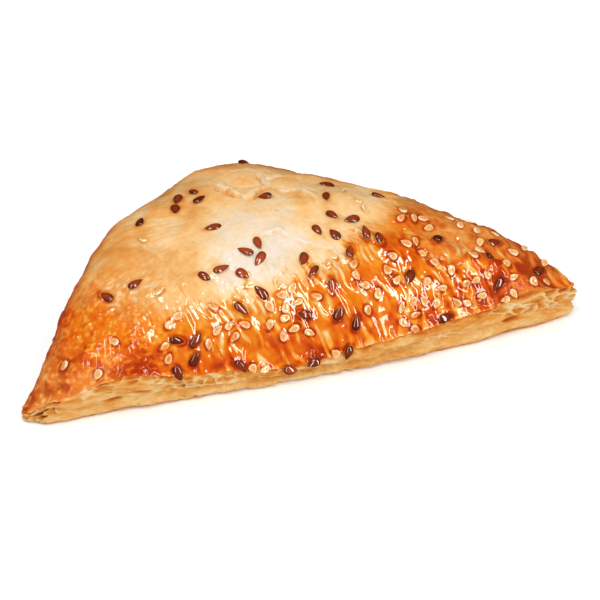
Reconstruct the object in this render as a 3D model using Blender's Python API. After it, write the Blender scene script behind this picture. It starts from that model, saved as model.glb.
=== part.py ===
"""A puff-pastry khachapuri: a filled triangle of two layered sheets of dough, baked until it
puffs, with flax and sesame seeds stuck to its glazed top.

Blender 4.5, metres, +Z up. The long side runs along X and faces -Y, and the back corner points
to +Y. The origin is on the flat underside, under the centre of the bounding box.
"""

import math
import random

import bmesh
import bpy
import numpy as np
from mathutils import Matrix, Vector, noise
from mathutils.bvhtree import BVHTree

# --- Driving dimensions, in metres ---------------------------------------------------------

LONG_SIDE = 0.168  # the front side, between its two sharp corners
BACK_CORNER = (-0.0046, 0.0900)  # from the middle of the long side
SIDE_BULGES = (0.0051, 0.0040, 0.0070)  # how far the front, right and left sides bow outwards
CORNER_SOFTNESS = 0.0012  # larger rounds the three corners more
PUFF = 0.0269  # how far the filling lifts the crust above the rim
CORE_HEIGHT = 0.0080  # height of the rim as felt under the puff
PUFF_STEEPNESS = (0.90, 0.80, 0.74)  # lower makes the crust rise faster from that side
PUFF_FULLNESS = 1.70  # higher flattens the top and fattens the shoulders
SHOULDER = 0.004  # width of the rounded step from the rim to the crust
PINCH = (0.06, 0.020)  # how much of the puff the left corner loses, and how far in

# The baked rim, counted from the left corner through the front side: (share of the way round,
# how far it strays outwards, its height). The crust curls low over the middle of the front.
RIM = (
    (0.00, 0.0003, 0.0035),
    (0.03, 0.0031, 0.0080),
    (0.07, -0.0002, 0.0122),
    (0.12, -0.0009, 0.0086),
    (0.19, -0.0003, 0.0059),
    (0.26, 0.0011, 0.0097),
    (0.33, 0.0003, 0.0114),
    (0.37, 0.0007, 0.0148),
    (0.40, -0.0005, 0.0111),
    (0.44, 0.0030, 0.0122),
    (0.52, -0.0008, 0.0115),
    (0.60, -0.0012, 0.0068),
    (0.68, -0.0006, 0.0111),
    (0.74, -0.0025, 0.0132),
    (0.80, -0.0016, 0.0107),
    (0.86, 0.0022, 0.0110),
    (0.92, -0.0001, 0.0101),
    (0.97, -0.0011, 0.0065),
)

# The cut side, from the underside up: a lower sheet with a lip, a faint parting line and the
# upper sheet, as (share of the rim's height, distance outwards).
SIDE_PROFILE = (
    (0.00, -0.0013),
    (0.12, 0.0001),
    (0.27, 0.0004),
    (0.36, -0.0001),
    (0.42, -0.0008),
    (0.50, -0.0001),
    (0.78, 0.0005),
    (1.00, 0.0000),
)

AROUND = 100  # points round the outline
CRUST_RINGS = 12  # rings of points on the crust

WANDER = 0.16  # of the rim's height that the parting line wanders up and down
WANDER_LENGTH = 0.022
LEDGE = 0.0009  # uneven layers of the cut side
LEDGE_LENGTH = 0.009
SWELL = 0.0015  # uneven puffing of the crust
SWELL_LENGTH = 0.020
RIM_REACH = 4  # higher keeps the rim's unevenness closer to the rim

# Seeds: length, width and thickness.
FLAX_SIZE = (0.0051, 0.0027, 0.0014)
SESAME_SIZE = (0.0034, 0.0022, 0.0012)
SUNK_SHARE = 0.30  # of a seed's thickness that the crust takes in
SEED_CLEARANCE = 0.85  # least distance between two seeds, in mean seed lengths
LEAST_UPWARD = 0.25  # of the crust's normal where a seed can stick
SEED_SIDES = 6
SEED_RINGS = 3

# Where the seeds fell: (x, y, z, spread, number). They lie thickest along the front.
FLAX_DRIFTS = (
    (-0.038, 0.041, 0.032, 0.001, 1),
    (-0.053, 0.018, 0.027, 0.003, 2),
    (-0.022, 0.041, 0.034, 0.004, 4),
    (-0.020, 0.028, 0.035, 0.001, 1),
    (0.000, 0.071, 0.024, 0.001, 1),
    (-0.004, 0.039, 0.035, 0.001, 1),
    (0.015, 0.041, 0.034, 0.003, 2),
    (0.012, 0.022, 0.035, 0.004, 2),
    (-0.015, 0.014, 0.034, 0.002, 3),
    (-0.024, 0.012, 0.033, 0.002, 3),
    (-0.013, 0.005, 0.030, 0.003, 2),
    (0.006, 0.007, 0.031, 0.003, 2),
    (0.006, 0.000, 0.026, 0.001, 1),
    (0.032, 0.035, 0.031, 0.001, 1),
    (0.019, 0.019, 0.034, 0.003, 3),
    (0.022, 0.008, 0.032, 0.004, 2),
    (0.031, 0.000, 0.026, 0.001, 1),
    (0.042, 0.013, 0.030, 0.001, 1),
    (0.060, 0.012, 0.025, 0.001, 1),
    (0.056, 0.000, 0.020, 0.004, 2),
    (0.073, 0.006, 0.017, 0.001, 1),
    (0.040, -0.004, 0.013, 0.001, 1),
    (-0.035, -0.003, 0.014, 0.004, 4),
    (-0.020, -0.004, 0.010, 0.001, 1),
    (-0.004, -0.002, 0.021, 0.001, 1),
    (0.008, -0.004, 0.015, 0.004, 3),
    (-0.007, -0.004, 0.008, 0.003, 2),
    (0.022, 0.058, 0.018, 0.005, 2),
)
SESAME_DRIFTS = (
    (-0.041, 0.031, 0.032, 0.001, 1),
    (-0.058, -0.002, 0.016, 0.003, 2),
    (-0.071, 0.005, 0.015, 0.001, 1),
    (-0.041, 0.010, 0.031, 0.001, 1),
    (-0.037, -0.001, 0.021, 0.004, 5),
    (-0.022, 0.000, 0.024, 0.005, 7),
    (-0.016, -0.004, 0.009, 0.002, 2),
    (-0.006, -0.003, 0.017, 0.005, 7),
    (-0.003, 0.002, 0.027, 0.004, 4),
    (0.011, 0.003, 0.030, 0.005, 7),
    (0.024, 0.001, 0.028, 0.005, 4),
    (0.041, -0.001, 0.024, 0.005, 6),
    (0.032, -0.004, 0.014, 0.005, 7),
    (0.008, -0.005, 0.009, 0.001, 1),
    (0.036, 0.021, 0.032, 0.003, 4),
    (0.036, 0.011, 0.032, 0.004, 4),
    (0.053, 0.022, 0.027, 0.003, 3),
    (0.055, 0.007, 0.026, 0.004, 4),
    (0.058, 0.015, 0.026, 0.002, 2),
    (0.026, 0.027, 0.034, 0.006, 3),
    (0.054, -0.002, 0.017, 0.004, 6),
    (0.069, 0.005, 0.018, 0.004, 5),
    (0.045, 0.035, 0.020, 0.006, 3),
)


# --- The plan: a triangle with bowed sides and softened corners ----------------------------

CORNERS = np.array([(-LONG_SIDE / 2, 0.0), (LONG_SIDE / 2, 0.0), BACK_CORNER])
MIDDLE = CORNERS.mean(axis=0)


def side_insets(x, y):
    """Distance inside each bowed side: the front, the right and the left."""
    rows = []
    for start, end, bulge in zip(CORNERS, np.roll(CORNERS, -1, axis=0), SIDE_BULGES):
        along = end - start
        length = np.hypot(*along)
        along = along / length
        share = np.clip(((x - start[0]) * along[0] + (y - start[1]) * along[1]) / length, 0, 1)
        straight = -(x - start[0]) * along[1] + (y - start[1]) * along[0]
        rows.append(straight + 4 * bulge * share * (1 - share))
    return np.array(rows)


def inset(x, y):
    """Distance inside the outline, smooth round the corners."""
    rows = side_insets(x, y)
    nearest = rows.min(axis=0)
    blend = np.exp((nearest - rows) / CORNER_SOFTNESS).sum(axis=0)
    return nearest - CORNER_SOFTNESS * np.log(blend)


def trace_outline(steps=2880):
    """Angle about the middle, radius, and share of the way round, from the left corner on."""
    angle = np.linspace(-math.pi, math.pi, steps, endpoint=False)
    inner = np.zeros(steps)
    outer = np.full(steps, LONG_SIDE)
    for _ in range(30):
        radius = (inner + outer) / 2
        inside = inset(MIDDLE[0] + radius * np.cos(angle), MIDDLE[1] + radius * np.sin(angle)) > 0
        inner = np.where(inside, radius, inner)
        outer = np.where(inside, outer, radius)
    x = radius * np.cos(angle)
    y = radius * np.sin(angle)
    first = np.argmin(x)
    x, y, radius, angle = (np.roll(row, -first) for row in (x, y, radius, angle))
    stride = np.hypot(np.roll(x, -1) - x, np.roll(y, -1) - y)
    share = (np.cumsum(stride) - stride) / stride.sum()
    return np.unwrap(angle), radius, share


ANGLE, RADIUS, SHARE = trace_outline()


def rim_value(share, column):
    """Column 1 or 2 of RIM, eased between its stations."""
    stations = np.array(RIM + ((1.0,) + RIM[0][1:],))
    at = stations[:, 0]
    index = np.clip(np.searchsorted(at, share, side="right") - 1, 0, len(RIM) - 1)
    part = (share - at[index]) / (at[index + 1] - at[index])
    low = stations[index, column]
    return low + part * part * (3 - 2 * part) * (stations[index + 1, column] - low)


# --- The pastry ----------------------------------------------------------------------------


def rough(points, length, seed):
    """Smooth unevenness between -1 and 1, with bumps of about that length."""
    away = Vector((seed, 2 * seed, 3 * seed))
    return np.array([noise.noise(Vector(point) / length + away) for point in points])


def puff_share(x, y):
    """How much of the puff the crust has: 0 on the outline, 1 over the middle."""
    share = np.ones(np.shape(x))
    for row, middle, steepness in zip(side_insets(x, y), side_insets(*MIDDLE), PUFF_STEEPNESS):
        share = share * (np.maximum(row, 0) / middle) ** steepness
    share = (1 + PUFF_FULLNESS) * share / (1 + PUFF_FULLNESS * share)
    step = np.clip(inset(x, y) / SHOULDER, 0, 1)
    corner = np.hypot(x - CORNERS[0, 0], y - CORNERS[0, 1])
    pinched = 1 - PINCH[0] * np.exp(-((corner / PINCH[1]) ** 2))
    return share * np.sqrt(1 - (1 - step) ** 2) * pinched


def crust_points(share, out):
    """Points of the crust, a share of the way round, and out from the middle to the rim."""
    angle = np.interp(share, SHARE, ANGLE)
    radius = np.interp(share, SHARE, RADIUS)
    direction = np.column_stack([np.cos(angle), np.sin(angle)])
    even = MIDDLE + direction * (out * radius)[:, None]
    puff = puff_share(even[:, 0], even[:, 1])
    at_rim = out**RIM_REACH
    plan = MIDDLE + direction * (out * radius + at_rim * rim_value(share, 1))[:, None]
    swell = rough(np.column_stack([plan, np.zeros(len(plan))]), SWELL_LENGTH, 3)
    height = CORE_HEIGHT + at_rim * (rim_value(share, 2) - CORE_HEIGHT)
    return np.column_stack([plan, height + (PUFF + SWELL * swell) * puff])


def side_points(share, level, outwards):
    """Points of the cut side, at a level from the underside, 0, to the rim, 1."""
    angle = np.interp(share, SHARE, ANGLE)
    points = crust_points(share, np.ones(len(share)))
    wander = rough(points * (1, 1, 0), WANDER_LENGTH, 7)
    level = level + WANDER * wander * np.sin(level * math.pi)
    layers = rough(points * (1, 1, 0) + np.outer(level, (0, 0, 0.03)), LEDGE_LENGTH, 5)
    away = outwards + LEDGE * layers
    points[:, 0] += away * np.cos(angle)
    points[:, 1] += away * np.sin(angle)
    points[:, 2] *= level
    return points


def build_pastry():
    """A sphere with its rings moved to the crust, the cut side and the flat underside."""
    side_rings = len(SIDE_PROFILE)
    rings = CRUST_RINGS + side_rings + 1
    shape = bmesh.new()
    bmesh.ops.create_uvsphere(shape, u_segments=AROUND, v_segments=rings + 1, radius=1)
    sphere = np.array([vertex.co for vertex in shape.verts])
    ring = np.rint(np.arccos(np.clip(sphere[:, 2], -1, 1)) / math.pi * (rings + 1)).astype(int)
    share = np.rint(np.arctan2(sphere[:, 1], sphere[:, 0]) / math.tau * AROUND) % AROUND / AROUND
    out = np.where(ring <= rings, np.sin(ring / (CRUST_RINGS + 1) * math.pi / 2), 0)
    points = crust_points(share, np.where(ring <= CRUST_RINGS, out, (ring == rings) * 0.5))
    points[ring > CRUST_RINGS, 2] = 0
    on_side = (ring > CRUST_RINGS) & (ring <= CRUST_RINGS + side_rings)
    profile = np.array(SIDE_PROFILE)[CRUST_RINGS + side_rings - ring[on_side]]
    points[on_side] = side_points(share[on_side], profile[:, 0], profile[:, 1])
    for vertex, point in zip(shape.verts, points):
        vertex.co = point
    mesh = bpy.data.meshes.new("pastry")
    shape.to_mesh(mesh)
    shape.free()
    return mesh


# --- The seeds -----------------------------------------------------------------------------


def build_seed(name, size):
    """A flat drop that lies along X, pointed at one end."""
    shape = bmesh.new()
    bmesh.ops.create_uvsphere(shape, u_segments=SEED_SIDES, v_segments=SEED_RINGS, radius=0.5)
    for vertex in shape.verts:
        along = vertex.co.z
        taper = 1 - 0.7 * along
        vertex.co = (along * size[0], vertex.co.x * taper * size[1], vertex.co.y * taper * size[2])
    mesh = bpy.data.meshes.new(name)
    shape.to_mesh(mesh)
    shape.free()
    return mesh


def scatter(crust, drifts, length, fallen, draws):
    """Adds (spot, turn, length) for the seeds of each drift, clear of those fallen before."""
    for x, y, z, spread, number in drifts:
        left = number
        while left:
            point = Vector((x, y, z)) + Vector([draws.gauss(0, spread) for _ in range(3)])
            turn = draws.uniform(0, math.tau)
            spot, normal, _, _ = crust.find_nearest(point)
            gaps = ((spot - other[0]).length / (length + other[2]) * 2 for other in fallen)
            if normal.z > LEAST_UPWARD and min(gaps, default=1) > SEED_CLEARANCE:
                fallen.append((spot, turn, length))
                left -= 1
    return fallen


def lay(crust, spot, turn, thickness):
    """Matrix that lays a seed flat on the crust near a spot and sinks it a little."""
    nearest, normal, _, _ = crust.find_nearest(spot)
    middle = nearest + normal * thickness * (0.5 - SUNK_SHARE)
    upright = normal.to_track_quat("Z", "Y").to_matrix().to_4x4()
    return Matrix.Translation(middle) @ upright @ Matrix.Rotation(turn, 4, "Z")


# --- The scene -----------------------------------------------------------------------------

for old in list(bpy.data.objects):
    bpy.data.objects.remove(old, do_unlink=True)

collection = bpy.data.collections.new("Khachapuri")
bpy.context.scene.collection.children.link(collection)
seeds = bpy.data.collections.new("Seeds")
bpy.context.scene.collection.children.link(seeds)

crust_material = bpy.data.materials.new("Baked crust")
crust_material.use_nodes = True
shader = crust_material.node_tree.nodes["Principled BSDF"]
shader.inputs["Base Color"].default_value = (0.62, 0.27, 0.07, 1)
shader.inputs["Roughness"].default_value = 0.42
shader.inputs["Metallic"].default_value = 0

pastry = bpy.data.objects.new("pastry", build_pastry())
pastry.data.materials.append(crust_material)
collection.objects.link(pastry)

form = bmesh.new()
form.from_mesh(pastry.data)
crust = BVHTree.FromBMesh(form)
form.free()

draws = random.Random(11)
flax_seeds = scatter(crust, FLAX_DRIFTS, FLAX_SIZE[0], [], draws)
all_seeds = scatter(crust, SESAME_DRIFTS, SESAME_SIZE[0], list(flax_seeds), draws)
flax_shape = build_seed("flax seed", FLAX_SIZE)
sesame_shape = build_seed("sesame seed", SESAME_SIZE)
for number, (spot, turn, length) in enumerate(all_seeds):
    is_flax = number < len(flax_seeds)
    seed = bpy.data.objects.new("seed", flax_shape if is_flax else sesame_shape)
    seed.matrix_world = lay(crust, spot, turn, FLAX_SIZE[2] if is_flax else SESAME_SIZE[2])
    seeds.objects.link(seed)

fuse = pastry.modifiers.new("Stick the seeds on", "BOOLEAN")
fuse.operation = "UNION"
fuse.operand_type = "COLLECTION"
fuse.collection = seeds
fuse.solver = "EXACT"
depsgraph = bpy.context.evaluated_depsgraph_get()
fused = bpy.data.meshes.new_from_object(pastry.evaluated_get(depsgraph))
pastry.modifiers.clear()
pastry.data = fused
pastry.data.name = "pastry"
for seed in list(seeds.objects):
    bpy.data.objects.remove(seed, do_unlink=True)
bpy.data.collections.remove(seeds)

points = np.array([vertex.co for vertex in pastry.data.vertices])
centre = (points.min(axis=0) + points.max(axis=0)) / 2
pastry.data.transform(Matrix.Translation((-centre[0], -centre[1], 0)))
pastry.data.shade_smooth()
pastry.data.set_sharp_from_angle(angle=math.radians(50))
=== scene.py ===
"""The looks of the khachapuri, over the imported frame: the baked crust, the cut layered side and
the seeds at full detail, the floor, the lights and the camera."""

import math
import random

import bmesh
import bpy
import numpy as np
from mathutils import Matrix, Vector, noise
from mathutils.bvhtree import BVHTree


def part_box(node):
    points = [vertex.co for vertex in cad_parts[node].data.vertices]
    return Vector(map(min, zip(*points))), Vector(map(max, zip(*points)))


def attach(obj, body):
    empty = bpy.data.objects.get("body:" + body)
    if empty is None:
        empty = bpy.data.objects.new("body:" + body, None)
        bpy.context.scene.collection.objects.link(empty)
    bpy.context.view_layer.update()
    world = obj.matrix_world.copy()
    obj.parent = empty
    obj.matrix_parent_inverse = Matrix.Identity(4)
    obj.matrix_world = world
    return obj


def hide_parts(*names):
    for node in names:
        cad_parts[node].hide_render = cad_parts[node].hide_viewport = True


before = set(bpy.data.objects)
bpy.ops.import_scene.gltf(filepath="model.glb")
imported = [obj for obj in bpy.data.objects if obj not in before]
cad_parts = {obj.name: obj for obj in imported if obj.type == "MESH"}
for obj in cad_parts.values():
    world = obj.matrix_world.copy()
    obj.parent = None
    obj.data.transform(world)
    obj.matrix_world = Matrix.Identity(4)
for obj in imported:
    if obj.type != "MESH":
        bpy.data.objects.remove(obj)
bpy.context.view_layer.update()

# --- Driving dimensions, in metres ---------------------------------------------------------

LONG_SIDE = 0.168  # the front side, between its two sharp corners
BACK_CORNER = (-0.0046, 0.0900)  # from the middle of the long side
SIDE_BULGES = (0.0051, 0.0040, 0.0070)  # how far the front, right and left sides bow outwards
CORNER_SOFTNESS = 0.0012  # larger rounds the three corners more
PUFF = 0.0269  # how far the filling lifts the crust above the rim
CORE_HEIGHT = 0.0080  # height of the rim as felt under the puff
PUFF_STEEPNESS = (0.90, 0.80, 0.74)  # lower makes the crust rise faster from that side
PUFF_FULLNESS = 1.70  # higher flattens the top and fattens the shoulders
SHOULDER = 0.004  # width of the rounded step from the rim to the crust
PINCH = (0.06, 0.020)  # how much of the puff the left corner loses, and how far in

# The baked rim, counted from the left corner through the front side: (share of the way round,
# how far it strays outwards, its height). The crust curls low over the middle of the front.
RIM = (
    (0.00, 0.0003, 0.0035),
    (0.03, 0.0031, 0.0080),
    (0.07, -0.0002, 0.0122),
    (0.12, -0.0009, 0.0086),
    (0.19, -0.0003, 0.0059),
    (0.26, 0.0011, 0.0097),
    (0.33, 0.0003, 0.0114),
    (0.37, 0.0007, 0.0148),
    (0.40, -0.0005, 0.0111),
    (0.44, 0.0030, 0.0122),
    (0.52, -0.0008, 0.0115),
    (0.60, -0.0012, 0.0068),
    (0.68, -0.0006, 0.0111),
    (0.74, -0.0025, 0.0132),
    (0.80, -0.0016, 0.0107),
    (0.86, 0.0022, 0.0110),
    (0.92, -0.0001, 0.0101),
    (0.97, -0.0011, 0.0065),
)

# The cut side, from the underside up: a lower sheet with a lip, a faint parting line and the
# upper sheet, as (share of the rim's height, distance outwards).
SIDE_PROFILE = (
    (0.00, -0.0013),
    (0.12, 0.0001),
    (0.27, 0.0004),
    (0.36, -0.0001),
    (0.42, -0.0008),
    (0.50, -0.0001),
    (0.78, 0.0005),
    (1.00, 0.0000),
)

AROUND = 100  # points round the outline
CRUST_RINGS = 12  # rings of points on the crust

WANDER = 0.16  # of the rim's height that the parting line wanders up and down
WANDER_LENGTH = 0.022
LEDGE = 0.0009  # uneven layers of the cut side
LEDGE_LENGTH = 0.009
SWELL = 0.0015  # uneven puffing of the crust
SWELL_LENGTH = 0.020
RIM_REACH = 4  # higher keeps the rim's unevenness closer to the rim

# Seeds: length, width and thickness.
FLAX_SIZE = (0.0051, 0.0027, 0.0014)
SESAME_SIZE = (0.0034, 0.0022, 0.0012)
SUNK_SHARE = 0.30  # of a seed's thickness that the crust takes in
SEED_CLEARANCE = 0.85  # least distance between two seeds, in mean seed lengths
LEAST_UPWARD = 0.25  # of the crust's normal where a seed can stick
SEED_SIDES = 6
SEED_RINGS = 3

# Where the seeds fell: (x, y, z, spread, number). They lie thickest along the front.
FLAX_DRIFTS = (
    (-0.038, 0.041, 0.032, 0.001, 1),
    (-0.053, 0.018, 0.027, 0.003, 2),
    (-0.022, 0.041, 0.034, 0.004, 4),
    (-0.020, 0.028, 0.035, 0.001, 1),
    (0.000, 0.071, 0.024, 0.001, 1),
    (-0.004, 0.039, 0.035, 0.001, 1),
    (0.015, 0.041, 0.034, 0.003, 2),
    (0.012, 0.022, 0.035, 0.004, 2),
    (-0.015, 0.014, 0.034, 0.002, 3),
    (-0.024, 0.012, 0.033, 0.002, 3),
    (-0.013, 0.005, 0.030, 0.003, 2),
    (0.006, 0.007, 0.031, 0.003, 2),
    (0.006, 0.000, 0.026, 0.001, 1),
    (0.032, 0.035, 0.031, 0.001, 1),
    (0.019, 0.019, 0.034, 0.003, 3),
    (0.022, 0.008, 0.032, 0.004, 2),
    (0.031, 0.000, 0.026, 0.001, 1),
    (0.042, 0.013, 0.030, 0.001, 1),
    (0.060, 0.012, 0.025, 0.001, 1),
    (0.056, 0.000, 0.020, 0.004, 2),
    (0.073, 0.006, 0.017, 0.001, 1),
    (0.040, -0.004, 0.013, 0.001, 1),
    (-0.035, -0.003, 0.014, 0.004, 4),
    (-0.020, -0.004, 0.010, 0.001, 1),
    (-0.004, -0.002, 0.021, 0.001, 1),
    (0.008, -0.004, 0.015, 0.004, 3),
    (-0.007, -0.004, 0.008, 0.003, 2),
    (0.022, 0.058, 0.018, 0.005, 2),
)
SESAME_DRIFTS = (
    (-0.041, 0.031, 0.032, 0.001, 1),
    (-0.058, -0.002, 0.016, 0.003, 2),
    (-0.071, 0.005, 0.015, 0.001, 1),
    (-0.041, 0.010, 0.031, 0.001, 1),
    (-0.037, -0.001, 0.021, 0.004, 5),
    (-0.022, 0.000, 0.024, 0.005, 7),
    (-0.016, -0.004, 0.009, 0.002, 2),
    (-0.006, -0.003, 0.017, 0.005, 7),
    (-0.003, 0.002, 0.027, 0.004, 4),
    (0.011, 0.003, 0.030, 0.005, 7),
    (0.024, 0.001, 0.028, 0.005, 4),
    (0.041, -0.001, 0.024, 0.005, 6),
    (0.032, -0.004, 0.014, 0.005, 7),
    (0.008, -0.005, 0.009, 0.001, 1),
    (0.036, 0.021, 0.032, 0.003, 4),
    (0.036, 0.011, 0.032, 0.004, 4),
    (0.053, 0.022, 0.027, 0.003, 3),
    (0.055, 0.007, 0.026, 0.004, 4),
    (0.058, 0.015, 0.026, 0.002, 2),
    (0.026, 0.027, 0.034, 0.006, 3),
    (0.054, -0.002, 0.017, 0.004, 6),
    (0.069, 0.005, 0.018, 0.004, 5),
    (0.045, 0.035, 0.020, 0.006, 3),
)


# --- The plan: a triangle with bowed sides and softened corners ----------------------------

CORNERS = np.array([(-LONG_SIDE / 2, 0.0), (LONG_SIDE / 2, 0.0), BACK_CORNER])
MIDDLE = CORNERS.mean(axis=0)


def side_insets(x, y):
    """Distance inside each bowed side: the front, the right and the left."""
    rows = []
    for start, end, bulge in zip(CORNERS, np.roll(CORNERS, -1, axis=0), SIDE_BULGES):
        along = end - start
        length = np.hypot(*along)
        along = along / length
        share = np.clip(((x - start[0]) * along[0] + (y - start[1]) * along[1]) / length, 0, 1)
        straight = -(x - start[0]) * along[1] + (y - start[1]) * along[0]
        rows.append(straight + 4 * bulge * share * (1 - share))
    return np.array(rows)


def inset(x, y):
    """Distance inside the outline, smooth round the corners."""
    rows = side_insets(x, y)
    nearest = rows.min(axis=0)
    blend = np.exp((nearest - rows) / CORNER_SOFTNESS).sum(axis=0)
    return nearest - CORNER_SOFTNESS * np.log(blend)


def trace_outline(steps=2880):
    """Angle about the middle, radius, and share of the way round, from the left corner on."""
    angle = np.linspace(-math.pi, math.pi, steps, endpoint=False)
    inner = np.zeros(steps)
    outer = np.full(steps, LONG_SIDE)
    for _ in range(30):
        radius = (inner + outer) / 2
        inside = inset(MIDDLE[0] + radius * np.cos(angle), MIDDLE[1] + radius * np.sin(angle)) > 0
        inner = np.where(inside, radius, inner)
        outer = np.where(inside, outer, radius)
    x = radius * np.cos(angle)
    y = radius * np.sin(angle)
    first = np.argmin(x)
    x, y, radius, angle = (np.roll(row, -first) for row in (x, y, radius, angle))
    stride = np.hypot(np.roll(x, -1) - x, np.roll(y, -1) - y)
    share = (np.cumsum(stride) - stride) / stride.sum()
    return np.unwrap(angle), radius, share


ANGLE, RADIUS, SHARE = trace_outline()


def rim_value(share, column):
    """Column 1 or 2 of RIM, eased between its stations."""
    stations = np.array(RIM + ((1.0,) + RIM[0][1:],))
    at = stations[:, 0]
    index = np.clip(np.searchsorted(at, share, side="right") - 1, 0, len(RIM) - 1)
    part = (share - at[index]) / (at[index + 1] - at[index])
    low = stations[index, column]
    return low + part * part * (3 - 2 * part) * (stations[index + 1, column] - low)


# --- The pastry ----------------------------------------------------------------------------


def rough(points, length, seed):
    """Smooth unevenness between -1 and 1, with bumps of about that length."""
    away = Vector((seed, 2 * seed, 3 * seed))
    return np.array([noise.noise(Vector(point) / length + away) for point in points])


def puff_share(x, y):
    """How much of the puff the crust has: 0 on the outline, 1 over the middle."""
    share = np.ones(np.shape(x))
    for row, middle, steepness in zip(side_insets(x, y), side_insets(*MIDDLE), PUFF_STEEPNESS):
        share = share * (np.maximum(row, 0) / middle) ** steepness
    share = (1 + PUFF_FULLNESS) * share / (1 + PUFF_FULLNESS * share)
    step = np.clip(inset(x, y) / SHOULDER, 0, 1)
    corner = np.hypot(x - CORNERS[0, 0], y - CORNERS[0, 1])
    pinched = 1 - PINCH[0] * np.exp(-((corner / PINCH[1]) ** 2))
    return share * np.sqrt(1 - (1 - step) ** 2) * pinched


def crust_points(share, out):
    """Points of the crust, a share of the way round, and out from the middle to the rim."""
    angle = np.interp(share, SHARE, ANGLE)
    radius = np.interp(share, SHARE, RADIUS)
    direction = np.column_stack([np.cos(angle), np.sin(angle)])
    even = MIDDLE + direction * (out * radius)[:, None]
    puff = puff_share(even[:, 0], even[:, 1])
    at_rim = out**RIM_REACH
    plan = MIDDLE + direction * (out * radius + at_rim * rim_value(share, 1))[:, None]
    swell = rough(np.column_stack([plan, np.zeros(len(plan))]), SWELL_LENGTH, 3)
    height = CORE_HEIGHT + at_rim * (rim_value(share, 2) - CORE_HEIGHT)
    return np.column_stack([plan, height + (PUFF + SWELL * swell) * puff])


def side_points(share, level, outwards):
    """Points of the cut side, at a level from the underside, 0, to the rim, 1."""
    angle = np.interp(share, SHARE, ANGLE)
    points = crust_points(share, np.ones(len(share)))
    wander = rough(points * (1, 1, 0), WANDER_LENGTH, 7)
    level = level + WANDER * wander * np.sin(level * math.pi)
    layers = rough(points * (1, 1, 0) + np.outer(level, (0, 0, 0.03)), LEDGE_LENGTH, 5)
    away = outwards + LEDGE * layers
    points[:, 0] += away * np.cos(angle)
    points[:, 1] += away * np.sin(angle)
    points[:, 2] *= level
    return points


def build_pastry():
    """A sphere with its rings moved to the crust, the cut side and the flat underside."""
    side_rings = len(SIDE_PROFILE)
    rings = CRUST_RINGS + side_rings + 1
    shape = bmesh.new()
    bmesh.ops.create_uvsphere(shape, u_segments=AROUND, v_segments=rings + 1, radius=1)
    sphere = np.array([vertex.co for vertex in shape.verts])
    ring = np.rint(np.arccos(np.clip(sphere[:, 2], -1, 1)) / math.pi * (rings + 1)).astype(int)
    share = np.rint(np.arctan2(sphere[:, 1], sphere[:, 0]) / math.tau * AROUND) % AROUND / AROUND
    out = np.where(ring <= rings, np.sin(ring / (CRUST_RINGS + 1) * math.pi / 2), 0)
    points = crust_points(share, np.where(ring <= CRUST_RINGS, out, (ring == rings) * 0.5))
    points[ring > CRUST_RINGS, 2] = 0
    on_side = (ring > CRUST_RINGS) & (ring <= CRUST_RINGS + side_rings)
    profile = np.array(SIDE_PROFILE)[CRUST_RINGS + side_rings - ring[on_side]]
    points[on_side] = side_points(share[on_side], profile[:, 0], profile[:, 1])
    for vertex, point in zip(shape.verts, points):
        vertex.co = point
    mesh = bpy.data.meshes.new("pastry")
    shape.to_mesh(mesh)
    shape.free()
    return mesh


# --- The seeds -----------------------------------------------------------------------------


def build_seed(name, size):
    """A flat drop that lies along X, pointed at one end."""
    shape = bmesh.new()
    bmesh.ops.create_uvsphere(shape, u_segments=SEED_SIDES, v_segments=SEED_RINGS, radius=0.5)
    for vertex in shape.verts:
        along = vertex.co.z
        taper = 1 - 0.7 * along
        vertex.co = (along * size[0], vertex.co.x * taper * size[1], vertex.co.y * taper * size[2])
    mesh = bpy.data.meshes.new(name)
    shape.to_mesh(mesh)
    shape.free()
    return mesh


def scatter(crust, drifts, length, fallen, draws):
    """Adds (spot, turn, length) for the seeds of each drift, clear of those fallen before."""
    for x, y, z, spread, number in drifts:
        left = number
        while left:
            point = Vector((x, y, z)) + Vector([draws.gauss(0, spread) for _ in range(3)])
            turn = draws.uniform(0, math.tau)
            spot, normal, _, _ = crust.find_nearest(point)
            gaps = ((spot - other[0]).length / (length + other[2]) * 2 for other in fallen)
            if normal.z > LEAST_UPWARD and min(gaps, default=1) > SEED_CLEARANCE:
                fallen.append((spot, turn, length))
                left -= 1
    return fallen


def lay(crust, spot, turn, thickness):
    """Matrix that lays a seed flat on the crust near a spot and sinks it a little."""
    nearest, normal, _, _ = crust.find_nearest(spot)
    middle = nearest + normal * thickness * (0.5 - SUNK_SHARE)
    upright = normal.to_track_quat("Z", "Y").to_matrix().to_4x4()
    return Matrix.Translation(middle) @ upright @ Matrix.Rotation(turn, 4, "Z")


# --- The fine form -------------------------------------------------------------------------

AROUND_FINE = 1200  # points on each ring
CRUST_FINE = 250  # rings on the crust
SIDE_FINE = 44  # rings on the cut side
UNDER_RINGS = (0.98, 0.90, 0.60, 0.30)  # of the way out to the edge of the underside
RING_CROWDING = 0.97  # higher crowds the crust's rings more towards the rim
SEAM = 0.97  # of the way out, where the crust starts to bend to the cut side's upper edge

RIM_POINTS = MIDDLE + RADIUS[:, None] * np.column_stack([np.cos(ANGLE), np.sin(ANGLE)])
PERIMETER = np.linalg.norm(np.diff(RIM_POINTS, axis=0), axis=1).sum()
SHARES = np.arange(AROUND_FINE) / AROUND_FINE


def smoothstep(low, high, value):
    """Eases from 0 at the first value to 1 at the second, which may be the smaller."""
    part = np.clip((value - low) / (high - low), 0, 1)
    return part * part * (3 - 2 * part)


def uneven(grid, lengths, seed):
    """Unevenness over a grid of points, with bumps of one length or of one for each axis."""
    return rough((grid / lengths).reshape(-1, 3), 1.0, seed).reshape(grid.shape[:2])


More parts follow.
